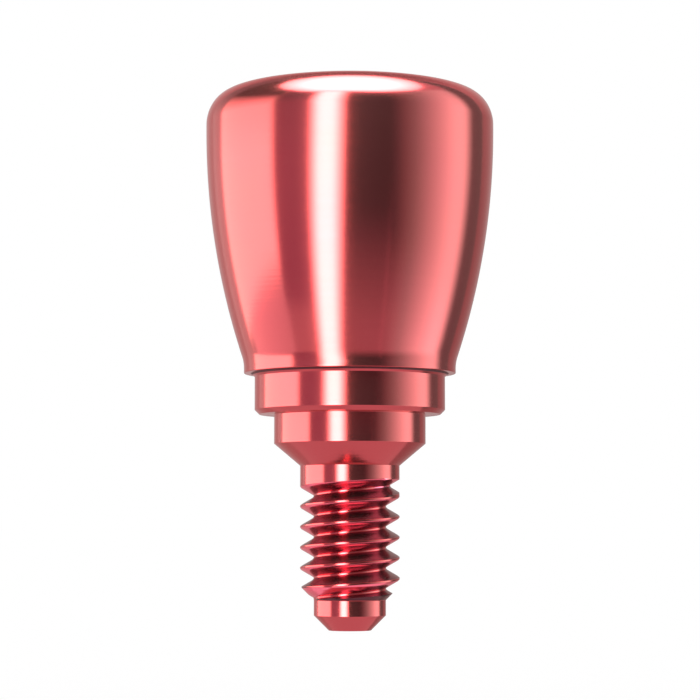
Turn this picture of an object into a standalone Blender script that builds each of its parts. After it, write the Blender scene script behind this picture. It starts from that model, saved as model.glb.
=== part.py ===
"""A healing abutment: the screw-in gum former of a dental implant, turned from one titanium bar.

Lengths are in metres. The origin is the centre of the seat plane, where the underside of the head
rests on the implant's platform. +Z runs up the implant's axis towards the mouth, so the head
stands above the seat, and the ring, the collar and the M2 thread hang below it.
Profiles are lists of (radius, height) points, which are turned about the axis.
"""

import math

import bmesh
import bpy
from mathutils import Matrix, Vector
from mathutils.geometry import interpolate_bezier

MM = 0.001

# Head, measured up from the seat plane
HEAD_HEIGHT = 5.557 * MM
HEAD_DIAMETER = 5.685 * MM
SHOULDER_HEIGHT = 0.641 * MM
SHOULDER_WIDTH = 0.530 * MM
LIP_DIAMETER = 4.163 * MM
LIP_HEIGHT = 0.216 * MM
LIP_FILLET_RADIUS = 0.785 * MM
FLARE_ANGLE = math.radians(18.26)
FLARE_PULL = 2.216 * MM
WIDEST_PULL = 0.757 * MM

# Hexagon driver socket, sunk into the flat top
SOCKET_SIDES = 6
SOCKET_ACROSS_FLATS = 1.27 * MM
SOCKET_DEPTH = 2.0 * MM
SOCKET_CHAMFER = 0.08 * MM
BROACHING_ALLOWANCE = 0.02 * MM
DRILL_EXTRA_DEPTH = 0.30 * MM
DRILL_POINT_ANGLE = math.radians(118.0)

# Seat ring, collar and cone, each measured down from the one above
RING_DIAMETER = 3.740 * MM
RING_LENGTH = 0.805 * MM
RING_CHAMFER = 0.089 * MM
COLLAR_DIAMETER = 2.972 * MM
COLLAR_LENGTH = 0.573 * MM
CONE_LENGTH = 0.432 * MM

# Screw: a plain neck and the thread on one shank, then a pilot with a chamfered tip
THREAD_DIAMETER = 1.948 * MM
THREAD_PITCH = 0.400 * MM
THREAD_ANGLE = math.radians(60.0)
CREST_WIDTH = 0.050 * MM
ROOT_WIDTH = 0.0425 * MM
NECK_LENGTH = 0.253 * MM
START_ANGLE = math.radians(130.0)
RUN_IN_ANGLE = math.radians(180.0)
SHANK_LENGTH = 2.349 * MM
PILOT_RELIEF = 0.004 * MM
PILOT_LENGTH = 0.296 * MM
TIP_CHAMFER = 0.290 * MM

# Facets
TURN_STEPS = 64
SOCKET_STEPS = 32
FILLET_STEPS = 4
FLANK_STEPS = 12
SHOULDER_STEPS = 9
SHARP_EDGE_ANGLE = math.radians(20.0)

# Points closer than this become one
MERGE_DISTANCE = 0.0001 * MM

# How far a cutter starts outside the surface that it cuts
CUTTER_CLEARANCE = 0.01 * MM

# Polished titanium under a pink oxide film
ANODISED_PINK = (0.52, 0.09, 0.10, 1.0)
ANODISED_METALLIC = 1.0
ANODISED_ROUGHNESS = 0.2


def clear_scene():
    for obj in list(bpy.data.objects):
        bpy.data.objects.remove(obj, do_unlink=True)


def arc(centre, radii, start, end, steps):
    """Points along an arc, or along a stretch of an ellipse where the two radii differ."""
    angles = [start + (end - start) * step / steps for step in range(steps + 1)]
    return [
        (centre[0] + radii[0] * math.cos(a), centre[1] + radii[1] * math.sin(a)) for a in angles
    ]


def head_profile():
    """The lip, its fillet, the flared flank and the round shoulder, from the seat to the flat top."""
    lip = LIP_DIAMETER / 2
    tangent = LIP_FILLET_RADIUS * math.tan(FLARE_ANGLE / 2)
    fillet = arc(
        (lip + LIP_FILLET_RADIUS, LIP_HEIGHT - tangent),
        (LIP_FILLET_RADIUS, LIP_FILLET_RADIUS),
        math.pi,
        math.pi - FLARE_ANGLE,
        FILLET_STEPS,
    )
    foot = Vector(fillet[-1])
    leaving = Vector((math.sin(FLARE_ANGLE), math.cos(FLARE_ANGLE)))
    widest = Vector((HEAD_DIAMETER / 2, HEAD_HEIGHT - SHOULDER_HEIGHT))
    flank = interpolate_bezier(
        foot,
        foot + leaving * FLARE_PULL,
        widest - Vector((0.0, WIDEST_PULL)),
        widest,
        FLANK_STEPS + 1,
    )
    shoulder = arc(
        (widest.x - SHOULDER_WIDTH, widest.y),
        (SHOULDER_WIDTH, SHOULDER_HEIGHT),
        0.0,
        math.pi / 2,
        SHOULDER_STEPS,
    )
    return [(lip, 0.0)] + fillet + [tuple(p.xy) for p in flank[1:]] + shoulder[1:]


def thread_depth():
    """Depth of the groove between its crest and root flats."""
    return (THREAD_PITCH - CREST_WIDTH - ROOT_WIDTH) / 2 / math.tan(THREAD_ANGLE / 2)


def root_radius():
    return THREAD_DIAMETER / 2 - thread_depth()


def cone_foot():
    """Height of the cone's lower end, where the shank begins."""
    return -(RING_LENGTH + COLLAR_LENGTH + CONE_LENGTH)


def pilot_top():
    """Height where the 45 degree run-out below the shank meets the pilot."""
    run_out = thread_depth() + PILOT_RELIEF
    return cone_foot() - SHANK_LENGTH - run_out


def stem_profile():
    """The seat ring, the collar, the cone and the unthreaded screw, from the seat to the tip."""
    ring, collar, shank = RING_DIAMETER / 2, COLLAR_DIAMETER / 2, THREAD_DIAMETER / 2
    pilot = root_radius() - PILOT_RELIEF
    collar_foot = -(RING_LENGTH + COLLAR_LENGTH)
    tip = pilot_top() - PILOT_LENGTH - TIP_CHAMFER
    return [
        (ring, 0.0),
        (ring, RING_CHAMFER - RING_LENGTH),
        (ring - RING_CHAMFER, -RING_LENGTH),
        (collar, -RING_LENGTH),
        (collar, collar_foot),
        (shank, cone_foot()),
        (shank, cone_foot() - SHANK_LENGTH),
        (pilot, pilot_top()),
        (pilot, tip + TIP_CHAMFER),
        (pilot - TIP_CHAMFER, tip),
    ]


def new_object(name, bm):
    bmesh.ops.recalc_face_normals(bm, faces=bm.faces)
    mesh = bpy.data.meshes.new(name)
    bm.to_mesh(mesh)
    bm.free()
    obj = bpy.data.objects.new(name, mesh)
    bpy.context.scene.collection.objects.link(obj)
    return obj


def on_start_plane(radius, height):
    """A point at the azimuth where the thread starts, so that all facets line up with its own."""
    return Vector((radius * math.cos(START_ANGLE), radius * math.sin(START_ANGLE), height))


def turned(name, profile, steps):
    """A solid of revolution whose profile's ends are closed by flat caps, or by a point at radius 0."""
    bm = bmesh.new()
    verts = [bm.verts.new(on_start_plane(radius, height)) for radius, height in profile]
    edges = [bm.edges.new(pair) for pair in zip(verts, verts[1:])]
    bmesh.ops.spin(
        bm,
        geom=verts + edges,
        cent=(0.0, 0.0, 0.0),
        axis=(0.0, 0.0, 1.0),
        angle=math.tau,
        steps=steps,
        use_merge=True,
    )
    bmesh.ops.remove_doubles(bm, verts=bm.verts, dist=MERGE_DISTANCE)
    open_edges = [edge for edge in bm.edges if edge.is_boundary]
    bmesh.ops.holes_fill(bm, edges=open_edges, sides=0)
    return new_object(name, bm)


def socket_corner():
    """Distance of the hexagon's corners from the axis."""
    return SOCKET_ACROSS_FLATS / 2 / math.cos(math.pi / SOCKET_SIDES)


def socket_drill():
    """The drilled bore behind the hexagon, with its point below and the mouth's chamfer above."""
    bore = SOCKET_ACROSS_FLATS / 2 - BROACHING_ALLOWANCE
    mouth = socket_corner() + SOCKET_CHAMFER
    shoulder = HEAD_HEIGHT - SOCKET_DEPTH - DRILL_EXTRA_DEPTH
    point = shoulder - bore / math.tan(DRILL_POINT_ANGLE / 2)
    above = HEAD_HEIGHT + CUTTER_CLEARANCE
    profile = [
        (mouth + CUTTER_CLEARANCE, above),
        (bore, above - (mouth + CUTTER_CLEARANCE - bore)),
        (bore, shoulder),
        (0.0, point),
    ]
    return turned("socket_drill", profile, SOCKET_STEPS)


def socket_broach():
    """The hexagonal prism that the driver fits."""
    length = SOCKET_DEPTH + CUTTER_CLEARANCE
    bm = bmesh.new()
    bmesh.ops.create_cone(
        bm,
        cap_ends=True,
        segments=SOCKET_SIDES,
        radius1=socket_corner(),
        radius2=socket_corner(),
        depth=length,
        matrix=Matrix.Translation((0.0, 0.0, HEAD_HEIGHT - SOCKET_DEPTH + length / 2)),
    )
    return new_object("socket_broach", bm)


def thread_cutter():
    """The thread's groove: a 60 degree section swept down a right-hand helix.

    The section reaches past the crest without touching its neighbour a pitch away. It starts
    clear of the shank and sinks in over the run-in, and it ends below the run-out.
    """
    flank_slope = math.tan(THREAD_ANGLE / 2)
    half_mouth = THREAD_PITCH / 2 - CREST_WIDTH / 4
    mouth = root_radius() + (half_mouth - ROOT_WIDTH / 2) / flank_slope
    start = cone_foot() - NECK_LENGTH
    section = [
        (root_radius(), start - ROOT_WIDTH / 2),
        (root_radius(), start + ROOT_WIDTH / 2),
        (mouth, start + half_mouth),
        (mouth, start - half_mouth),
    ]
    fall = start + half_mouth - pilot_top()
    steps = math.ceil(TURN_STEPS * fall / THREAD_PITCH)
    step_angle = math.tau / TURN_STEPS

    bm = bmesh.new()
    face = bm.faces.new([bm.verts.new(on_start_plane(*corner)) for corner in section])
    bmesh.ops.spin(
        bm,
        geom=[face],
        cent=(0.0, 0.0, 0.0),
        axis=(0.0, 0.0, -1.0),
        dvec=(0.0, 0.0, -THREAD_PITCH / TURN_STEPS),
        angle=step_angle * steps,
        steps=steps,
    )
    # The spin adds one copy of the section's corners at each step
    for index, vert in enumerate(bm.verts):
        turned_angle = step_angle * (index // len(section))
        unsunk = max(0.0, 1.0 - turned_angle / RUN_IN_ANGLE)
        outward = Vector((vert.co.x, vert.co.y, 0.0)).normalized()
        vert.co += outward * unsunk * (thread_depth() + CUTTER_CLEARANCE)
    return new_object("thread_cutter", bm)


def cut(body, cutters):
    """Takes the cutters out of the body, and leaves the result as the body's own mesh."""
    for cutter in cutters:
        modifier = body.modifiers.new(cutter.name, "BOOLEAN")
        modifier.operation = "DIFFERENCE"
        modifier.solver = "EXACT"
        modifier.object = cutter
    evaluated = body.evaluated_get(bpy.context.evaluated_depsgraph_get())
    mesh = bpy.data.meshes.new_from_object(evaluated)
    body.modifiers.clear()
    body.data = mesh
    for cutter in cutters:
        bpy.data.objects.remove(cutter, do_unlink=True)


def anodised_titanium():
    material = bpy.data.materials.new("anodised_titanium")
    material.use_nodes = True
    shader = material.node_tree.nodes["Principled BSDF"]
    shader.inputs["Base Color"].default_value = ANODISED_PINK
    shader.inputs["Metallic"].default_value = ANODISED_METALLIC
    shader.inputs["Roughness"].default_value = ANODISED_ROUGHNESS
    return material


def build_abutment():
    profile = stem_profile()[::-1] + head_profile()
    abutment = turned("healing_abutment", profile, TURN_STEPS)
    cut(abutment, [socket_drill(), socket_broach(), thread_cutter()])
    abutment.data.materials.clear()
    abutment.data.materials.append(anodised_titanium())
    abutment.data.shade_smooth()
    abutment.data.set_sharp_from_angle(angle=SHARP_EDGE_ANGLE)


clear_scene()
build_abutment()
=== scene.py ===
"""Studio scene of a healing abutment, the screw-in gum former of a dental implant.

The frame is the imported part's: metres, +Z up the implant's axis, the origin at the centre of the
seat plane, and the head's front towards -Y. One finely turned piece stands for the part's faceted
solid. Sizes are in millimetres, and each mesh is scaled to metres when it is finished.
"""

import logging
import math
from dataclasses import dataclass, field
from enum import Enum

import bmesh
import bpy
from mathutils import Matrix, Vector
from mathutils.geometry import interpolate_bezier


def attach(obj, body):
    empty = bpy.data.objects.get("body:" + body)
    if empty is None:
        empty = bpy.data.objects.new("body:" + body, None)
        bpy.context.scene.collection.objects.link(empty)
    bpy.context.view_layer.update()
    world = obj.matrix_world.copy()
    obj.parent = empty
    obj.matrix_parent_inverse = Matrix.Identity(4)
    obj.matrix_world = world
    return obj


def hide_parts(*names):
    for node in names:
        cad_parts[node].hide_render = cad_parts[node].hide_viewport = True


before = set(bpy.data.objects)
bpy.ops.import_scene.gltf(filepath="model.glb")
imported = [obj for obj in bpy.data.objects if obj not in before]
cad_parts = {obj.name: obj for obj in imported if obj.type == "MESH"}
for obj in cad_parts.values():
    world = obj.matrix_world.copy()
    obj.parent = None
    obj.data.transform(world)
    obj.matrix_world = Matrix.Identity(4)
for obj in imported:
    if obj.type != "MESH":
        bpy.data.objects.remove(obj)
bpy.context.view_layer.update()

LOG = logging.getLogger("healing_abutment")
BODY = "root"
NODE = "healing_abutment"
SLOT = "anodised_titanium"

METRES_PER_MM = 0.001
MERGE_DISTANCE = 0.0002
TURN_STEPS = 144
START_ANGLE = math.radians(130.0)
SHARP_EDGE_ANGLE = math.radians(32.0)
ROUNDING_SEGMENTS = 4

Colour = tuple[float, float, float]
Point = tuple[float, float]


class Side(Enum):
    """The side of a level plane that a cut takes away."""

    ABOVE = "above"
    BELOW = "below"
    NEITHER = "neither"


class Ramp(Enum):
    """How a ramp in a material rises."""

    STRAIGHT = "LINEAR"
    EASED = "SMOOTHSTEP"


@dataclass(frozen=True)
class Corner:
    """A corner of a turned outline, and the radius that its edge is broken to."""

    radius: float
    height: float
    rounding: float = 0.0

    @property
    def point(self) -> Vector:
        """The corner as a 2-D point."""
        return Vector((self.radius, self.height))


def arc(centre: Point, radii: Point, start: float, end: float, steps: int) -> list[Corner]:
    """Divides an arc of a circle or an ellipse into corners.

    Args:
        centre: The arc's centre, as radius and height.
        radii: Its half width and half height.
        start: The angle of the first corner, in radians.
        end: The angle of the last corner.
        steps: How many chords stand for the arc.

    Returns:
        The corners along the arc, both ends included.
    """
    angles = [start + (end - start) * step / steps for step in range(steps + 1)]
    return [
        Corner(centre[0] + radii[0] * math.cos(angle), centre[1] + radii[1] * math.sin(angle))
        for angle in angles
    ]


def on_start_plane(radius: float, height: float) -> Vector:
    """Places a point of an outline at the azimuth where the thread starts."""
    return Vector((radius * math.cos(START_ANGLE), radius * math.sin(START_ANGLE), height))


def draw_outline(corners: list[Corner]) -> bmesh.types.BMesh:
    """Draws an outline as a chain of edges and rounds the corners that ask for it.

    Args:
        corners: The outline's corners in order.

    Returns:
        A bmesh that holds only the chain.
    """
    bm = bmesh.new()
    verts = [bm.verts.new(on_start_plane(corner.radius, corner.height)) for corner in corners]
    for pair in zip(verts, verts[1:]):
        bm.edges.new(pair)
    for index, corner in enumerate(corners):
        if not corner.rounding:
            continue
        arriving = corner.point - corners[index - 1].point
        leaving = corners[index + 1].point - corner.point
        bmesh.ops.bevel(
            bm,
            geom=[verts[index]],
            offset=corner.rounding * math.tan(arriving.angle(leaving) / 2),
            segments=ROUNDING_SEGMENTS,
            profile=0.5,
            affect="VERTICES",
            material=-1,
        )
    return bm


def turn(bm: bmesh.types.BMesh, drop: float = 0.0) -> None:
    """Spins a chain of edges once round the axis, clockwise seen from above.

    Args:
        bm: The mesh that holds the chain.
        drop: How far the chain sinks in the turn, as a thread does.
    """
    bmesh.ops.spin(
        bm,
        geom=bm.verts[:] + bm.edges[:],
        cent=(0.0, 0.0, 0.0),
        axis=(0.0, 0.0, -1.0),
        dvec=(0.0, 0.0, -drop / TURN_STEPS),
        angle=math.tau,
        steps=TURN_STEPS,
        use_merge=not drop,
    )
    bmesh.ops.remove_doubles(bm, verts=bm.verts, dist=MERGE_DISTANCE)


def cap_ends(bm: bmesh.types.BMesh) -> None:
    """Closes every open loop with one flat face."""
    open_edges = [edge for edge in bm.edges if edge.is_boundary]
    bmesh.ops.holes_fill(bm, edges=open_edges, sides=0)


def cut_level(bm: bmesh.types.BMesh, height: float, side: Side) -> None:
    """Cuts a mesh along a level plane, which leaves an edge loop there.

    Args:
        bm: The mesh to cut.
        height: The plane's height.
        side: The side that goes.
    """
    bmesh.ops.bisect_plane(
        bm,
        geom=bm.verts[:] + bm.edges[:] + bm.faces[:],
        dist=MERGE_DISTANCE,
        plane_co=(0.0, 0.0, height),
        plane_no=(0.0, 0.0, 1.0),
        clear_outer=side is Side.ABOVE,
        clear_inner=side is Side.BELOW,
    )


def turned_solid(name: str, corners: list[Corner]) -> bpy.types.Object:
    """Turns an outline into a named object whose open loops are closed.

    Args:
        name: The object's name.
        corners: The outline's corners.

    Returns:
        The new object, linked to the scene.
    """
    bm = draw_outline(corners)
    turn(bm)
    cap_ends(bm)
    return new_object(name, bm)


def new_object(name: str, bm: bmesh.types.BMesh) -> bpy.types.Object:
    """Makes an object of a mesh, with its faces pointing outwards, and frees the bmesh.

    Args:
        name: The object's name.
        bm: Its mesh.

    Returns:
        The new object, linked to the scene.
    """
    bmesh.ops.recalc_face_normals(bm, faces=bm.faces)
    mesh = bpy.data.meshes.new(name)
    bm.to_mesh(mesh)
    bm.free()
    obj = bpy.data.objects.new(name, mesh)
    bpy.context.scene.collection.objects.link(obj)
    return obj


def subtract(body: bpy.types.Object, cutters: list[bpy.types.Object]) -> bmesh.types.BMesh:
    """Cuts some solids out of another and removes them all from the scene.

    Args:
        body: The solid that is cut.
        cutters: The solids to take out of it.

    Returns:
        What is left of the body.
    """
    for cutter in cutters:
        modifier = body.modifiers.new(cutter.name, "BOOLEAN")
        modifier.operation = "DIFFERENCE"
        modifier.solver = "EXACT"
        modifier.object = cutter
    cut = body.evaluated_get(bpy.context.evaluated_depsgraph_get())
    mesh = bpy.data.meshes.new_from_object(cut)
    bm = bmesh.new()
    bm.from_mesh(mesh)
    bpy.data.meshes.remove(mesh)
    for obj in [body, *cutters]:
        bpy.data.objects.remove(obj, do_unlink=True)
    return bm


@dataclass(frozen=True)
class Head:
    """The flared head, from its lip on the seat plane to its flat top."""

    height: float = 5.557
    diameter: float = 5.685
    shoulder_height: float = 0.641
    shoulder_width: float = 0.530
    lip_diameter: float = 4.163
    lip_height: float = 0.216
    lip_edge: float = 0.012
    fillet_radius: float = 0.785
    flare_angle: float = math.radians(18.26)
    flare_pull: float = 2.216
    widest_pull: float = 0.757
    shoulder_steps: int = 28
    flank_steps: int = 96
    fillet_steps: int = 10

    def outline(self) -> list[Corner]:
        """Draws the shoulder, the flared flank, the fillet and the lip.

        Returns:
            Their corners, from the flat top down.
        """
        widest = Vector((self.diameter / 2, self.height - self.shoulder_height))
        lip = self.lip_diameter / 2
        shoulder = arc(
            (widest.x - self.shoulder_width, widest.y),
            (self.shoulder_width, self.shoulder_height),
            math.pi / 2,
            0.0,
            self.shoulder_steps,
        )
        tangent = self.fillet_radius * math.tan(self.flare_angle / 2)
        fillet = arc(
            (lip + self.fillet_radius, self.lip_height - tangent),
            (self.fillet_radius, self.fillet_radius),
            math.pi - self.flare_angle,
            math.pi,
            self.fillet_steps,
        )
        foot = fillet[0].point
        leaving = Vector((math.sin(self.flare_angle), math.cos(self.flare_angle)))
        flank = interpolate_bezier(
            widest,
            widest - Vector((0.0, self.widest_pull)),
            foot + leaving * self.flare_pull,
            foot,
            self.flank_steps + 1,
        )
        inner_flank = [Corner(point.x, point.y) for point in flank[1:-1]]
        return shoulder + inner_flank + fillet + [Corner(lip, 0.0, self.lip_edge)]


@dataclass(frozen=True)
class Socket:
    """The hexagon driver socket in the head's flat top."""

    top: float
    across_flats: float = 1.27
    depth: float = 2.0
    chamfer: float = 0.08
    broaching_allowance: float = 0.02
    drill_extra_depth: float = 0.30
    drill_point_angle: float = math.radians(118.0)
    land_radius: float = 1.0
    plug_length: float = 3.2
    clearance: float = 0.05
    sides: int = 6

    @property
    def corner(self) -> float:
        """Distance of the hexagon's corners from the axis."""
        return self.across_flats / 2 / math.cos(math.pi / self.sides)

    def _drill(self) -> bpy.types.Object:
        """Makes the drilled bore, with its point below and the mouth's chamfer above.

        Returns:
            The cutter.
        """
        bore = self.across_flats / 2 - self.broaching_allowance
        mouth = self.corner + self.chamfer + self.clearance
        above = self.top + self.clearance
        shoulder = self.top - self.depth - self.drill_extra_depth
        point = shoulder - bore / math.tan(self.drill_point_angle / 2)
        outline = [
            Corner(0.0, above),
            Corner(mouth, above),
            Corner(bore, above - (mouth - bore)),
            Corner(bore, shoulder),
            Corner(0.0, point),
        ]
        return turned_solid("drill", outline)

    def _broach(self) -> bpy.types.Object:
        """Makes the hexagonal prism that the driver fits.

        Returns:
            The cutter.
        """
        length = self.depth + self.clearance
        bm = bmesh.new()
        bmesh.ops.create_cone(
            bm,
            cap_ends=True,
            segments=self.sides,
            radius1=self.corner,
            radius2=self.corner,
            depth=length,
            matrix=Matrix.Translation((0.0, 0.0, self.top - self.depth + length / 2)),
        )
        return new_object("broach", bm)

    def mesh(self) -> bmesh.types.BMesh:
        """Cuts the socket into a short plug.

        Returns:
            The plug's top land and the socket's walls, without the plug's outside.
        """
        land, foot = self.land_radius, self.top - self.plug_length
        plug = turned_solid("plug", [Corner(land, self.top), Corner(land, foot)])
        bm = subtract(plug, [self._drill(), self._broach()])
        outside = [
            face
            for face in bm.faces
            if all(vert.co.xy.length > land - MERGE_DISTANCE for vert in face.verts)
            and face.calc_center_median().z < self.top - MERGE_DISTANCE
        ]
        bmesh.ops.delete(bm, geom=outside, context="FACES")
        return bm


@dataclass(frozen=True)
class Stem:
    """The seat ring, the collar and the cone between the seat plane and the screw."""

    ring_diameter: float = 3.740
    ring_length: float = 0.805
    ring_chamfer: float = 0.089
    collar_diameter: float = 2.972
    collar_length: float = 0.573
    cone_length: float = 0.432
    seat_relief: float = 0.070
    # Share of the seat relief, from the seat plane down, darkened by a painted shadow line.
    painted_shadow_share: float = 0.45
    collar_fillet: float = 0.012
    broken_edge: float = 0.006

    @property
    def foot(self) -> float:
        """Height of the cone's lower end."""
        return -(self.ring_length + self.collar_length + self.cone_length)

    def outline(self, shank_radius: float) -> list[Corner]:
        """Draws the ring, the collar and the cone.

        Args:
            shank_radius: Radius of the screw's shank, where the cone ends.

        Returns:
            Their corners, from the seat plane down to the shank.
        """
        ring, collar = self.ring_diameter / 2, self.collar_diameter / 2
        collar_foot = -(self.ring_length + self.collar_length)
        return [
            Corner(ring + self.seat_relief, 0.0),
            Corner(ring, -self.seat_relief, self.broken_edge),
            Corner(ring, self.ring_chamfer - self.ring_length, self.broken_edge),
            Corner(ring - self.ring_chamfer, -self.ring_length, self.broken_edge),
            Corner(collar, -self.ring_length, self.collar_fillet),
            Corner(collar, collar_foot, self.broken_edge),
            Corner(shank_radius, self.foot),
        ]


@dataclass(frozen=True)
class Screw:
    """The neck, the right-hand 60 degree thread, the pilot and the chamfered tip."""

    top: float
    diameter: float = 1.948
    pitch: float = 0.400
    thread_angle: float = math.radians(60.0)
    crest_width: float = 0.050
    root_width: float = 0.0425
    neck_length: float = 0.253
    run_in_angle: float = math.radians(180.0)
    run_in_clearance: float = 0.020
    shank_length: float = 2.349
    pilot_relief: float = 0.004
    pilot_length: float = 0.296
    tip_chamfer: float = 0.290
    crest_rounding: float = 0.002
    root_rounding: float = 0.0015
    rounding_rows: tuple[float, ...] = (-2.5, -0.8, 0.8, 2.5)
    flank_rows: int = 5
    spare_turns: int = 2

    @property
    def flank_slope(self) -> float:
        """How fast the radius grows up a flank of the groove."""
        return 1.0 / math.tan(self.thread_angle / 2)

    @property
    def depth(self) -> float:
        """Depth of the groove between its crest and root flats."""
        return (self.pitch - self.crest_width - self.root_width) / 2 * self.flank_slope

    @property
    def root(self) -> float:
        """Radius of the groove's floor."""
        return self.diameter / 2 - self.depth

    @property
    def start(self) -> float:
        """Height where the groove's middle starts, on the start plane."""
        return self.top - self.neck_length

    @property
    def pilot_radius(self) -> float:
        """Radius of the plain pilot below the thread."""
        return self.root - self.pilot_relief

    @property
    def shank_foot(self) -> float:
        """Height where the 45 degree run-out starts."""
        return self.top - self.shank_length

    @property
    def pilot_top(self) -> float:
        """Height where the run-out meets the pilot."""
        return self.shank_foot - (self.diameter / 2 - self.pilot_radius)

    @property
    def chamfer_top(self) -> float:
        """Height where the tip's chamfer starts."""
        return self.pilot_top - self.pilot_length

    @property
    def tip(self) -> float:
        """Height of the flat end."""
        return self.chamfer_top - self.tip_chamfer

    def _rows(self) -> list[float]:
        """Places the edge rows on the start plane, the same in every pitch.

        Each is a whole number of steps of the helix from the top, so that every row meets the
        level loop there at one of its points. The first lies more than a pitch above the top,
        because the rows sink by a pitch in the turn.

        Returns:
            The rows' heights, from the lowest up.
        """
        root_edge = self.root_width / 2
        crest_edge = (self.pitch - self.crest_width) / 2
        near = [root_edge + row * self.root_rounding for row in self.rounding_rows]
        far = [crest_edge + row * self.crest_rounding for row in self.rounding_rows]
        run = far[0] - near[-1]
        flank = [near[-1] + run * row / self.flank_rows for row in range(1, self.flank_rows)]
        half = near + flank + far
        offsets = [0.0, self.pitch / 2] + half + [-offset for offset in half]

        step = self.pitch / TURN_STEPS
        in_steps = {
            round((self.start - self.top + offset) / step) % TURN_STEPS for offset in offsets
        }
        turns = math.ceil((self.top - self.tip) / self.pitch)
        return sorted(
            self.top + self.spare_turns * self.pitch - (turn_index * TURN_STEPS + steps) * step
            for turn_index in range(turns + self.spare_turns + 1)
            for steps in in_steps
        )

    def _groove(self, point: Vector) -> float:
        """Radius of the groove's surface at a point's azimuth and height.

        Args:
            point: A point on the shank.

        Returns:
            The radius, or infinity where the groove hasn't started or has run out.
        """
        azimuth = math.atan2(point.y, point.x)
        part_turn = ((START_ANGLE - azimuth) % math.tau) / math.tau
        turns = round((self.start - point.z) / self.pitch - part_turn) + part_turn
        if turns < 0.0 or point.z < self.pilot_top:
            return math.inf
        offset = abs(point.z - (self.start - self.pitch * turns))
        beyond_floor = (offset - self.root_width / 2) / self.root_rounding
        rise = self.root_rounding * math.log1p(math.exp(beyond_floor))
        unsunk = max(0.0, 1.0 - turns * math.tau / self.run_in_angle)
        return self.root + rise * self.flank_slope + unsunk * (self.depth + self.run_in_clearance)

    def _envelope(self, height: float) -> float:
        """Finds the unthreaded screw's surface.

        Args:
            height: A height between the screw's top and its tip.

        Returns:
            The radius there.
        """
        shank, pilot = self.diameter / 2, self.pilot_radius
        if height >= self.shank_foot:
            return shank
        if height >= self.pilot_top:
            return shank - (self.shank_foot - height)
        if height >= self.chamfer_top:
            return pilot
        return pilot - (self.chamfer_top - height)

    def _surface(self, point: Vector) -> float:
        """Finds the finished screw's surface, with the edge between groove and crest rounded.

        Args:
            point: A point on the shank.

        Returns:
            The radius there.
        """
        outer, groove = self._envelope(point.z), self._groove(point)
        if groove == math.inf:
            return outer
        lower, gap = min(outer, groove), abs(outer - groove)
        return lower - self.crest_rounding * math.log1p(math.exp(-gap / self.crest_rounding))

    def mesh(self) -> bmesh.types.BMesh:
        """Winds a plain tube whose rows follow the helix, then sinks the thread into it.

        Returns:
            The screw, open at its top and closed at its tip.
        """
        bm = bmesh.new()
        radius = self.diameter / 2
        verts = [bm.verts.new(on_start_plane(radius, height)) for height in self._rows()]
        for pair in zip(verts, verts[1:]):
            bm.edges.new(pair)
        turn(bm, drop=self.pitch)
        cut_level(bm, self.top, Side.ABOVE)
        for height in (self.shank_foot, self.pilot_top, self.chamfer_top):
            cut_level(bm, height, Side.NEITHER)
        cut_level(bm, self.tip, Side.BELOW)
        for vert in bm.verts:
            flat = Vector((vert.co.x, vert.co.y, 0.0)).normalized()
            vert.co = flat * self._surface(vert.co) + Vector((0.0, 0.0, vert.co.z))
        end = [
            edge
            for edge in bm.edges
            if edge.is_boundary and max(v.co.z for v in edge.verts) < self.tip + MERGE_DISTANCE
        ]
        bmesh.ops.holes_fill(bm, edges=end, sides=0)
        return bm


class Signal:
    """A varying shader number, which Python's operators combine by adding Math nodes."""

    def __init__(self, graph: "Graph", socket: bpy.types.NodeSocket) -> None:
        """Wraps one output socket."""
        self.graph = graph
        self.socket = socket

    def _math(self, operation: str, first: object, second: object) -> "Signal":
        """Adds a Math node for two operands, each a Signal or a number."""
        node = self.graph.add("ShaderNodeMath", {"operation": operation}, {0: first, 1: second})
        return Signal(self.graph, node.outputs[0])

    def __add__(self, other: object) -> "Signal":
        """self + other."""
        return self._math("ADD", self, other)

    def __radd__(self, other: object) -> "Signal":
        """other + self."""
        return self._math("ADD", other, self)

    def __sub__(self, other: object) -> "Signal":
        """self - other."""
        return self._math("SUBTRACT", self, other)

    def __rsub__(self, other: object) -> "Signal":
        """other - self."""
        return self._math("SUBTRACT", other, self)

    def __mul__(self, other: object) -> "Signal":
        """self * other."""
        return self._math("MULTIPLY", self, other)

    def __rmul__(self, other: object) -> "Signal":
        """other * self."""
        return self._math("MULTIPLY", other, self)

    def __truediv__(self, other: object) -> "Signal":
        """self / other."""
        return self._math("DIVIDE", self, other)

    def __rtruediv__(self, other: object) -> "Signal":
        """other / self."""
        return self._math("DIVIDE", other, self)

    def __pow__(self, other: object) -> "Signal":
        """self ** other."""
        return self._math("POWER", self, other)

    def __rpow__(self, other: object) -> "Signal":
        """other ** self."""
        return self._math("POWER", other, self)

    def __mod__(self, other: object) -> "Signal":
        """self % other, which is never negative."""
        return self._math("FLOORED_MODULO", self, other)

    def __lt__(self, other: object) -> "Signal":
        """1 where self < other, and 0 elsewhere."""
        return self._math("LESS_THAN", self, other)


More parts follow.
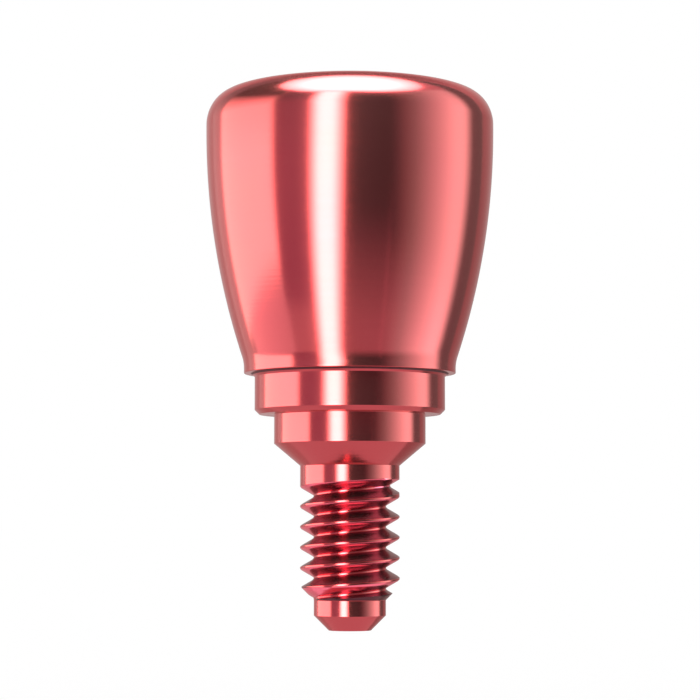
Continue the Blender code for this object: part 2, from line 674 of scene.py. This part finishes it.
class Graph:
    """The node tree of one material."""

    def __init__(self, name: str) -> None:
        """Starts an empty material of that name."""
        self.material = bpy.data.materials.new(name)
        self.material.use_nodes = True
        self.tree = self.material.node_tree
        self.tree.nodes.clear()
        self.output = self.tree.nodes.new("ShaderNodeOutputMaterial")

    def add(
        self,
        kind: str,
        settings: dict[str, object] | None = None,
        inputs: dict[int | str, object] | None = None,
    ) -> bpy.types.Node:
        """Adds a node, sets its settings, then its sockets.

        Args:
            kind: The node's type.
            settings: Its own properties, such as a Math node's operation.
            inputs: For each socket, a value, an output socket or a Signal.

        Returns:
            The new node.
        """
        node = self.tree.nodes.new(kind)
        for key, value in (settings or {}).items():
            setattr(node, key, value)
        for key, value in (inputs or {}).items():
            source = value.socket if isinstance(value, Signal) else value
            if isinstance(source, bpy.types.NodeSocket):
                self.tree.links.new(source, node.inputs[key])
            else:
                node.inputs[key].default_value = source
        return node

    def signal(self, node: bpy.types.Node) -> Signal:
        """Wraps a node's first output so that expressions can use it."""
        return Signal(self, node.outputs[0])

    def place(self) -> tuple[Signal, Signal, Signal]:
        """Reads the object's own coordinates.

        Returns:
            The three of them, in metres.
        """
        coordinates = self.add("ShaderNodeTexCoord").outputs["Object"]
        axes = self.add("ShaderNodeSeparateXYZ", inputs={0: coordinates}).outputs
        return Signal(self, axes[0]), Signal(self, axes[1]), Signal(self, axes[2])

    def along(self, direction: Vector) -> Signal:
        """Measures the object's own coordinates in one direction.

        Args:
            direction: The direction, of length 1.

        Returns:
            How far they reach in it, in metres.
        """
        node = self.add(
            "ShaderNodeVectorMath",
            {"operation": "DOT_PRODUCT"},
            {0: self.add("ShaderNodeTexCoord").outputs["Object"], 1: direction},
        )
        return Signal(self, node.outputs["Value"])

    def angle(self, sideways: Signal, ahead: Signal) -> Signal:
        """The angle of a direction, in radians, from -pi to pi."""
        return self.signal(
            self.add("ShaderNodeMath", {"operation": "ARCTAN2"}, {0: sideways, 1: ahead})
        )

    def ramp(self, value: Signal, start: float, end: float, kind: Ramp) -> Signal:
        """Rises from 0 to 1 while a value goes from start to end.

        Args:
            value: The value to follow.
            start: Where the rise starts.
            end: Where it ends, which may lie below the start.
            kind: Whether the rise is straight or eased.

        Returns:
            The rise, held between 0 and 1.
        """
        return self.signal(
            self.add(
                "ShaderNodeMapRange",
                {"clamp": True, "interpolation_type": kind.value},
                {"Value": value, "From Min": start, "From Max": end},
            )
        )

    def mix(self, factor: object, first: object, second: object) -> bpy.types.NodeSocket:
        """Mixes two colours.

        Args:
            factor: The second colour's share.
            first: The first colour, or the socket that gives it.
            second: The second colour, or its socket.

        Returns:
            The mixed colour's socket.
        """
        node = self.add("ShaderNodeMix", {"data_type": "RGBA"}, {"Factor": factor})
        for name, value in (("A", first), ("B", second)):
            socket = next(s for s in node.inputs if s.name == name and s.type == "RGBA")
            if isinstance(value, bpy.types.NodeSocket):
                self.tree.links.new(value, socket)
            else:
                socket.default_value = (*value, 1.0)
        return next(s for s in node.outputs if s.type == "RGBA")

    def finish(self, shader: bpy.types.Node) -> bpy.types.Material:
        """Connects the shader to the output and returns the material."""
        self.tree.links.new(shader.outputs[0], self.output.inputs["Surface"])
        return self.material

    def glow(self, colour: object, strength: object) -> bpy.types.Material:
        """Finishes the material as a plain light."""
        inputs = {"Color": colour, "Strength": strength}
        return self.finish(self.add("ShaderNodeEmission", inputs=inputs))


@dataclass(frozen=True)
class AnodisedTitanium:
    """Turned and polished titanium under a pink oxide film."""

    colour: Colour = (0.500, 0.070, 0.075)
    thick_film: Colour = (0.500, 0.064, 0.083)
    scored: Colour = (0.440, 0.060, 0.064)
    # Painted highlight: the groove's upper flank is lighter and redder than the metal, brightest
    # towards the crest.
    painted_glow_root: Colour = (0.880, 0.110, 0.200)
    painted_glow_crest: Colour = (0.950, 0.150, 0.230)
    # Painted shade: the dark colour of the groove's lower flank and of the painted shadow line in
    # the seat's corner.
    painted_shade: Colour = (0.090, 0.024, 0.032)
    grazing_tint: Colour = (1.0, 0.80, 0.77)
    scored_share: float = 0.30
    film_patch: float = 1.6
    film_detail: float = 2.0
    roughness: float = 0.150
    upper_flank_roughness: float = 0.16
    lower_flank_roughness: float = 0.20
    seat_roughness: float = 0.50
    haze: float = 0.145
    haze_roughness: float = 0.55
    mark_roughness: float = 0.050
    mark_spacing: float = 0.045
    mark_depth: float = 0.0006
    mark_breaks: float = 1.5
    mark_detail: float = 2.0
    mark_mean: float = 0.5
    flank_margin: float = 0.012
    seat_margin: float = 0.004

    def material(self, stem: Stem, screw: Screw) -> bpy.types.Material:
        """Builds the finish, with the tool's fine marks running round the axis.

        Args:
            stem: The stem, whose corner under the lip is darkened by a painted shadow line.
            screw: The thread, whose lower flank is darkened by painted shade and whose upper flank
                has a painted glow.

        Returns:
            The material.
        """
        graph = Graph(SLOT)
        x, y, z = (axis / METRES_PER_MM for axis in graph.place())
        radius = (x * x + y * y) ** 0.5
        marks = self._marks(graph, x / radius, y / radius, radius, z)
        # The upper flank's share carries a painted glow and the lower flank's share a painted
        # shade.
        upper, lower = self._flanks(graph, screw, graph.angle(y, x), radius, z)
        # A painted shadow line in the seat's corner under the lip.
        seat = self._painted_seat_shadow(graph, stem, radius, z)

        film = graph.add(
            "ShaderNodeTexNoise",
            {"noise_dimensions": "3D"},
            {
                "Vector": graph.add("ShaderNodeTexCoord").outputs["Object"],
                "Scale": 1.0 / (self.film_patch * METRES_PER_MM),
                "Detail": self.film_detail,
            },
        ).outputs[0]
        colour = graph.mix(film, self.colour, self.thick_film)
        colour = graph.mix(marks * self.scored_share, colour, self.scored)
        # Painted glow on the groove's upper flank, rising from the root to the crest.
        crest = screw.diameter / 2
        rise = graph.ramp(radius, screw.root, crest, Ramp.STRAIGHT)
        flank = graph.mix(rise, self.painted_glow_root, self.painted_glow_crest)
        colour = graph.mix(upper, colour, flank)
        # Painted shade on the groove's lower flank and a painted shadow line in the seat's corner
        # under the lip.
        colour = graph.mix(lower + seat, colour, self.painted_shade)
        roughness = (
            self.roughness
            + (marks - self.mark_mean) * self.mark_roughness
            + upper * (self.upper_flank_roughness - self.roughness)
            + lower * (self.lower_flank_roughness - self.roughness)
            + seat * (self.seat_roughness - self.roughness)
        )
        bump = graph.add(
            "ShaderNodeBump",
            inputs={"Height": marks, "Distance": self.mark_depth * METRES_PER_MM, "Strength": 1.0},
        )
        shader = graph.add(
            "ShaderNodeBsdfPrincipled",
            inputs={
                "Base Color": colour,
                "Metallic": 1.0,
                "Roughness": roughness,
                "Specular Tint": (*self.grazing_tint, 1.0),
                "Coat Weight": self.haze,
                "Coat Roughness": self.haze_roughness,
                "Normal": bump.outputs[0],
            },
        )
        return graph.finish(shader)

    def _marks(
        self, graph: Graph, cosine: Signal, sine: Signal, radius: Signal, z: Signal
    ) -> Signal:
        """The tool's marks: fine rings that fade in and out on their way round.

        Args:
            graph: The material's node tree.
            cosine: Cosine of the azimuth.
            sine: Sine of the azimuth.
            radius: Distance from the axis, in millimetres.
            z: Height, in millimetres.

        Returns:
            The height of the marks, from 0 to 1.
        """
        across = graph.add(
            "ShaderNodeCombineXYZ",
            inputs={
                0: radius / self.mark_spacing,
                1: z / self.mark_spacing,
                2: cosine * self.mark_breaks,
            },
        )
        return graph.signal(
            graph.add(
                "ShaderNodeTexNoise",
                {"noise_dimensions": "4D"},
                {
                    "Vector": across.outputs[0],
                    "W": sine * self.mark_breaks,
                    "Scale": 1.0,
                    "Detail": self.mark_detail,
                },
            )
        )

    def _flanks(
        self, graph: Graph, screw: Screw, azimuth: Signal, radius: Signal, z: Signal
    ) -> tuple[Signal, Signal]:
        """Finds the two flanks of the groove.

        Args:
            graph: The material's node tree.
            screw: The thread.
            azimuth: Azimuth in radians.
            radius: Distance from the axis, in millimetres.
            z: Height, in millimetres.

        Returns:
            A share for the flank above the groove's floor and one for the flank below it.
        """
        crest = screw.diameter / 2
        turn = (z - screw.start) / screw.pitch + (START_ANGLE - azimuth) / math.tau
        above_floor = (turn % 1.0) < 0.5
        groove = (
            graph.ramp(radius, screw.root, screw.root + self.flank_margin, Ramp.EASED)
            * graph.ramp(radius, crest, crest - self.flank_margin, Ramp.EASED)
            * (z < screw.top)
        )
        return groove * above_floor, groove * (1.0 - above_floor)

    def _painted_seat_shadow(self, graph: Graph, stem: Stem, radius: Signal, z: Signal) -> Signal:
        """Finds the upper part of the relief in the seat's corner, which a painted shadow line
        darkens.

        Args:
            graph: The material's node tree.
            stem: The stem under the lip.
            radius: Distance from the axis, in millimetres.
            z: Height, in millimetres.

        Returns:
            A share for that part.
        """
        foot = -stem.seat_relief * stem.painted_shadow_share
        rim = stem.ring_diameter / 2 + stem.seat_relief + self.seat_margin
        below_lip = graph.ramp(z, 2.0 * self.seat_margin, self.seat_margin, Ramp.EASED)
        above_foot = graph.ramp(z, foot, foot + self.seat_margin, Ramp.EASED)
        inside = graph.ramp(radius, rim + self.seat_margin, rim, Ramp.EASED)
        return below_lip * above_foot * inside


@dataclass
class Abutment:
    """The whole turned part: head, socket, stem and screw in one mesh."""

    head: Head = field(default_factory=Head)
    stem: Stem = field(default_factory=Stem)
    finish: AnodisedTitanium = field(default_factory=AnodisedTitanium)

    def build(self) -> bpy.types.Object:
        """Builds the piece, dresses it and ties it to the frame.

        Returns:
            The finished object.
        """
        socket = Socket(top=self.head.height)
        screw = Screw(top=self.stem.foot)
        outline = (
            [Corner(socket.land_radius, self.head.height)]
            + self.head.outline()
            + self.stem.outline(screw.diameter / 2)
        )
        bm = draw_outline(outline)
        turn(bm)
        for part in (socket.mesh(), screw.mesh()):
            self._add(bm, part)
        bmesh.ops.remove_doubles(bm, verts=bm.verts, dist=MERGE_DISTANCE)
        loose = sum(1 for edge in bm.edges if not edge.is_manifold)
        bmesh.ops.recalc_face_normals(bm, faces=bm.faces)
        bmesh.ops.scale(bm, vec=(METRES_PER_MM,) * 3, verts=bm.verts)
        LOG.info("turned part: %d faces, %d open or loose edges", len(bm.faces), loose)
        piece = new_object("turned_abutment", bm)
        self._dress(piece, screw)
        return piece

    @staticmethod
    def _add(bm: bmesh.types.BMesh, part: bmesh.types.BMesh) -> None:
        """Copies a part into the mesh and frees it.

        Args:
            bm: The mesh that takes the part.
            part: The part.
        """
        mesh = bpy.data.meshes.new("part")
        part.to_mesh(mesh)
        part.free()
        bm.from_mesh(mesh)
        bpy.data.meshes.remove(mesh)

    def _dress(self, piece: bpy.types.Object, screw: Screw) -> None:
        """Shades the piece, gives it its finish and ties it to the frame.

        Args:
            piece: The turned part.
            screw: The thread on it, whose flanks the finish shades.
        """
        piece.data.materials.clear()
        piece.data.materials.append(self.finish.material(self.stem, screw))
        piece.data.shade_smooth()
        piece.data.set_sharp_from_angle(angle=SHARP_EDGE_ANGLE)
        normals = piece.modifiers.new("weighted_normals", "WEIGHTED_NORMAL")
        normals.keep_sharp = True
        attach(piece, BODY)
        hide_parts(NODE)


@dataclass(frozen=True)
class Glow:
    """How bright a card is next to white: even, or rising from its near to its far edge."""

    near: float
    far: float | None = None
    power: float = 1.5
    plateau: float = 1.0

    def strength(self, graph: Graph, turn: Signal, span: float) -> Signal | float:
        """Works out the brightness across a card.

        Args:
            graph: The card's node tree.
            turn: The angle from the card's near edge, in degrees.
            span: The angle from there to its far edge.

        Returns:
            The brightness.
        """
        if self.far is None:
            return self.near
        share = graph.ramp(turn, 0.0, span * self.plateau, Ramp.STRAIGHT)
        return self.near + share**self.power * (self.far - self.near)


@dataclass(frozen=True)
class Fade:
    """A change of a card's glow into another one between two elevations."""

    into: Glow
    start: float
    end: float


@dataclass(frozen=True)
class WallCard:
    """An upright card on a ring round the part, which only the metal's reflections see.

    Its tint may change into another one within a few degrees of its near edge.
    """

    name: str
    first: float
    last: float
    low: float
    high: float
    glow: Glow
    fades: tuple[Fade, ...] = ()
    tint: Colour = (1.0, 1.0, 1.0)
    far_tint: Colour | None = None
    tint_turn: float = 19.0
    soft_first: float = 0.0
    soft_last: float = 0.0
    edge_share: float = 0.22
    distance: float = 120.0
    lean: float = 0.0
    steps: int = 24

    @property
    def span(self) -> float:
        """The angle that the card covers, in degrees."""
        return self.last - self.first

    @property
    def facing(self) -> Vector:
        """Direction from the part to the card's middle."""
        middle = math.radians((self.first + self.last) / 2)
        return Vector((math.sin(middle), -math.cos(middle), 0.0))

    @property
    def leaning(self) -> Matrix:
        """The turn about that direction that leans the card."""
        return Matrix.Rotation(math.radians(self.lean), 3, self.facing)

    def build(self) -> bpy.types.Object:
        """Bends the card round the part, between two azimuths and two elevations.

        Returns:
            The card.
        """
        bm = bmesh.new()
        azimuth = math.radians(self.first)
        across, ahead = self.distance * math.sin(azimuth), self.distance * math.cos(azimuth)
        ends = [
            bm.verts.new((across, -ahead, self._height(elevation)))
            for elevation in (self.low, self.high)
        ]
        edge = bm.edges.new(ends)
        bmesh.ops.spin(
            bm,
            geom=[*ends, edge],
            cent=(0.0, 0.0, 0.0),
            axis=(0.0, 0.0, 1.0),
            angle=math.radians(self.span),
            steps=self.steps,
        )
        bmesh.ops.rotate(bm, cent=(0.0, 0.0, 0.0), matrix=self.leaning, verts=bm.verts)
        return hang_card(self.name, bm, self._material())

    def _height(self, elevation: float) -> float:
        """Height on the card that the part sees at an elevation."""
        return self.distance * math.tan(math.radians(elevation))

    def _material(self) -> bpy.types.Material:
        """Builds the card's glow, which falls off towards its soft edges.

        Returns:
            The material.
        """
        graph = Graph(self.name)
        side = self.leaning @ Vector((-self.facing.y, self.facing.x, 0.0))
        turn = graph.angle(graph.along(side), graph.along(self.facing)) * math.degrees(1.0)
        turn = turn + self.span / 2
        strength = self.glow.strength(graph, turn, self.span)
        for fade in self.fades:
            height = graph.place()[2] / METRES_PER_MM
            share = graph.ramp(
                height, self._height(fade.start), self._height(fade.end), Ramp.STRAIGHT
            )
            other = fade.into.strength(graph, turn, self.span)
            strength = strength + share * (other - strength)
        for edge, soft in ((0.0, self.soft_first), (self.span, -self.soft_last)):
            if soft:
                inside = graph.ramp(turn, edge, edge + soft, Ramp.EASED)
                strength = strength * (self.edge_share + inside * (1.0 - self.edge_share))
        colour = (*self.tint, 1.0)
        if self.far_tint is not None:
            share = graph.ramp(turn, 0.0, self.tint_turn, Ramp.STRAIGHT)
            colour = graph.mix(share, self.tint, self.far_tint)
        return graph.glow(colour, strength)


@dataclass(frozen=True)
class OverheadCard:
    """The card above the part, a slightly squared oval set towards the front."""

    name: str = "overhead_card"
    height: float = 65.0
    forward: float = 41.9
    aside: float = 1.6
    half_width: float = 58.4
    half_depth: float = 50.5
    squareness: float = 2.35
    brightness: float = 16.0
    rim_brightness: float = 6.0
    rim_start: float = 0.62
    tint: Colour = (0.95, 1.0, 0.88)
    steps: int = 96

    def build(self) -> bpy.types.Object:
        """Makes the oval by swelling a disc's four corners and stretching it.

        Returns:
            The card.
        """
        bm = bmesh.new()
        bmesh.ops.create_circle(bm, cap_ends=True, segments=self.steps, radius=1.0)
        for vert in bm.verts:
            vert.co /= self._reach(abs(vert.co.x), abs(vert.co.y))
        bmesh.ops.scale(bm, vec=(self.half_width, self.half_depth, 1.0), verts=bm.verts)
        bmesh.ops.translate(bm, vec=(self.aside, -self.forward, self.height), verts=bm.verts)
        return hang_card(self.name, bm, self._material())

    def _material(self) -> bpy.types.Material:
        """Builds the card's glow, which falls off towards the rim.

        Returns:
            The material.
        """
        graph = Graph(self.name)
        x, y, _ = (axis / METRES_PER_MM for axis in graph.place())
        across = (x - self.aside) / self.half_width
        along = (y + self.forward) / self.half_depth
        outwards = self._reach((across * across) ** 0.5, (along * along) ** 0.5)
        share = graph.ramp(outwards, self.rim_start, 1.0, Ramp.STRAIGHT)
        strength = self.brightness + share * (self.rim_brightness - self.brightness)
        return graph.glow((*self.tint, 1.0), strength)

    def _reach(self, across: Signal | float, along: Signal | float) -> Signal | float:
        """Share of the way from the middle to the rim, for shares of the two half sizes."""
        return (across**self.squareness + along**self.squareness) ** (1.0 / self.squareness)


def hang_card(
    name: str, bm: bmesh.types.BMesh, material: bpy.types.Material
) -> bpy.types.Object:
    """Makes a light card of a mesh, and hides it from all but mirror reflections.

    Args:
        name: The card's name.
        bm: Its mesh, in millimetres.
        material: Its glow.

    Returns:
        The card.
    """
    bmesh.ops.scale(bm, vec=(METRES_PER_MM,) * 3, verts=bm.verts)
    card = new_object(name, bm)
    card.data.materials.append(material)
    card.visible_camera = False
    card.visible_diffuse = False
    card.visible_shadow = False
    return card


@dataclass(frozen=True)
class Floor:
    """A plain white floor a little below the tip, which takes the part's shadow."""

    height: float = -8.0
    half_size: float = 4000.0
    colour: Colour = (1.0, 1.0, 1.0)

    def build(self) -> bpy.types.Object:
        """Lays the floor. The metal mirrors the white world below it in its place.

        Returns:
            The floor.
        """
        bm = bmesh.new()
        bmesh.ops.create_grid(bm, x_segments=1, y_segments=1, size=self.half_size)
        bmesh.ops.translate(bm, vec=(0.0, 0.0, self.height), verts=bm.verts)
        bmesh.ops.scale(bm, vec=(METRES_PER_MM,) * 3, verts=bm.verts)
        floor = new_object("floor", bm)
        graph = Graph("floor_white")
        floor.data.materials.append(
            graph.finish(graph.add("ShaderNodeBsdfDiffuse", inputs={"Color": (*self.colour, 1.0)}))
        )
        floor.visible_glossy = False
        return floor


@dataclass(frozen=True)
class Camera:
    """The photograph's view: a long lens a little below the seat, looking slightly up."""

    aside: float = 0.003
    distance: float = 44.047
    height: float = -3.035
    upward: float = 4.548
    lens: float = 115.39
    sensor: float = 36.0
    nearest: float = 1.0

    def build(self) -> bpy.types.Object:
        """Places the camera and makes it the scene's own.

        Returns:
            The camera.
        """
        data = bpy.data.cameras.new("camera")
        data.sensor_width = self.sensor
        data.lens = self.lens
        data.clip_start = self.nearest * METRES_PER_MM
        camera = bpy.data.objects.new("camera", data)
        bpy.context.scene.collection.objects.link(camera)
        camera.location = Vector((self.aside, -self.distance, self.height)) * METRES_PER_MM
        camera.rotation_euler = (math.radians(90.0 + self.upward), 0.0, 0.0)
        bpy.context.scene.camera = camera
        return camera


@dataclass
class Studio:
    """A white world, a white floor, and the cards that the polished metal mirrors."""

    white: Colour = (1.0, 1.0, 1.0)
    world_strength: float = 1.0
    floor: Floor = field(default_factory=Floor)
    camera: Camera = field(default_factory=Camera)
    overhead: OverheadCard = field(default_factory=OverheadCard)
    walls: tuple[WallCard, ...] = (
        WallCard(
            "back_left_wall", -180.0, -140.0, -40.0, 75.0,
            Glow(0.54, 0.74, 1.0),
            (Fade(Glow(0.78), 6.0, 36.0), Fade(Glow(0.45), 42.0, 58.0)),
            tint=(1.06, 0.92, 0.92),
        ),
        WallCard(
            "left_softbox_edge", -140.0, -117.0, -13.9, 75.0,
            Glow(1.10),
            (Fade(Glow(0.44), 8.0, 36.0),),
            tint=(0.95, 1.25, 1.20),
        ),
        WallCard(
            "left_softbox", -123.0, -60.2, -12.4, 62.0,
            Glow(4.95),
            (Fade(Glow(0.22), 8.0, 34.0), Fade(Glow(2.4), -9.8, -13.4)),
            tint=(0.94, 1.0, 0.85),
            soft_last=6.5,
            distance=116.5,
            lean=-3.5,
        ),
        WallCard(
            "left_lower_glow", -117.0, -62.0, -42.0, -4.0,
            Glow(2.3, 1.55, 1.0),
            tint=(0.88, 1.05, 1.02),
        ),
        WallCard(
            "left_front_flag", -61.2, -31.0, -20.5, 45.0,
            Glow(0.56),
            (Fade(Glow(0.28), 6.0, 26.0),),
            tint=(1.10, 0.78, 1.04),
            distance=113.0,
            lean=-7.5,
        ),
        WallCard(
            "key_strip", -32.6, -4.4, -45.0, 40.0,
            Glow(14.8),
            tint=(1.0, 1.0, 0.84),
            soft_first=9.5,
            soft_last=10.5,
            distance=110.0,
            lean=-5.5,
        ),
        WallCard(
            "front_flag", -9.0, 33.0, -45.0, 36.0,
            Glow(0.115),
            (Fade(Glow(0.72), -6.0, -27.0),),
        ),
        WallCard(
            "right_softbox", 33.0, 113.8, -45.0, 43.5,
            Glow(0.13, 4.3, 1.5, 0.73),
            (
                Fade(Glow(0.30, 1.8, 1.0, 0.73), 13.0, 50.0),
                Fade(Glow(0.72, 5.6, 1.5, 0.73), -8.0, -24.0),
            ),
            far_tint=(0.57, 1.0, 0.86),
            soft_last=13.0,
            lean=3.5,
        ),
        WallCard(
            "right_back_flag", 113.0, 132.0, -40.0, 75.0,
            Glow(0.34),
            tint=(0.80, 1.20, 1.10),
            distance=113.0,
            lean=4.0,
        ),
        WallCard(
            "back_right_wall", 132.0, 180.0, -40.0, 75.0,
            Glow(0.49),
            (Fade(Glow(0.80), 4.0, 34.0), Fade(Glow(0.45), 40.0, 56.0)),
            tint=(1.06, 0.92, 0.92),
        ),
    )

    def build(self) -> None:
        """Lights the scene and sets its camera."""
        scene = bpy.context.scene
        world = bpy.data.worlds.new("white_world")
        world.use_nodes = True
        background = world.node_tree.nodes["Background"]
        background.inputs["Color"].default_value = (*self.white, 1.0)
        background.inputs["Strength"].default_value = self.world_strength
        scene.world = world
        scene.view_settings.view_transform = "Standard"
        for stage_piece in (self.floor, self.overhead, *self.walls, self.camera):
            LOG.info("studio: %s", stage_piece.build().name)


def main() -> None:
    """Builds the part and the studio in order."""
    logging.basicConfig(level=logging.INFO, format="%(name)s: %(message)s")
    piece = Abutment().build()
    LOG.info("piece: %s, %d vertices", piece.name, len(piece.data.vertices))
    Studio().build()


if __name__ == "__main__":
    main()
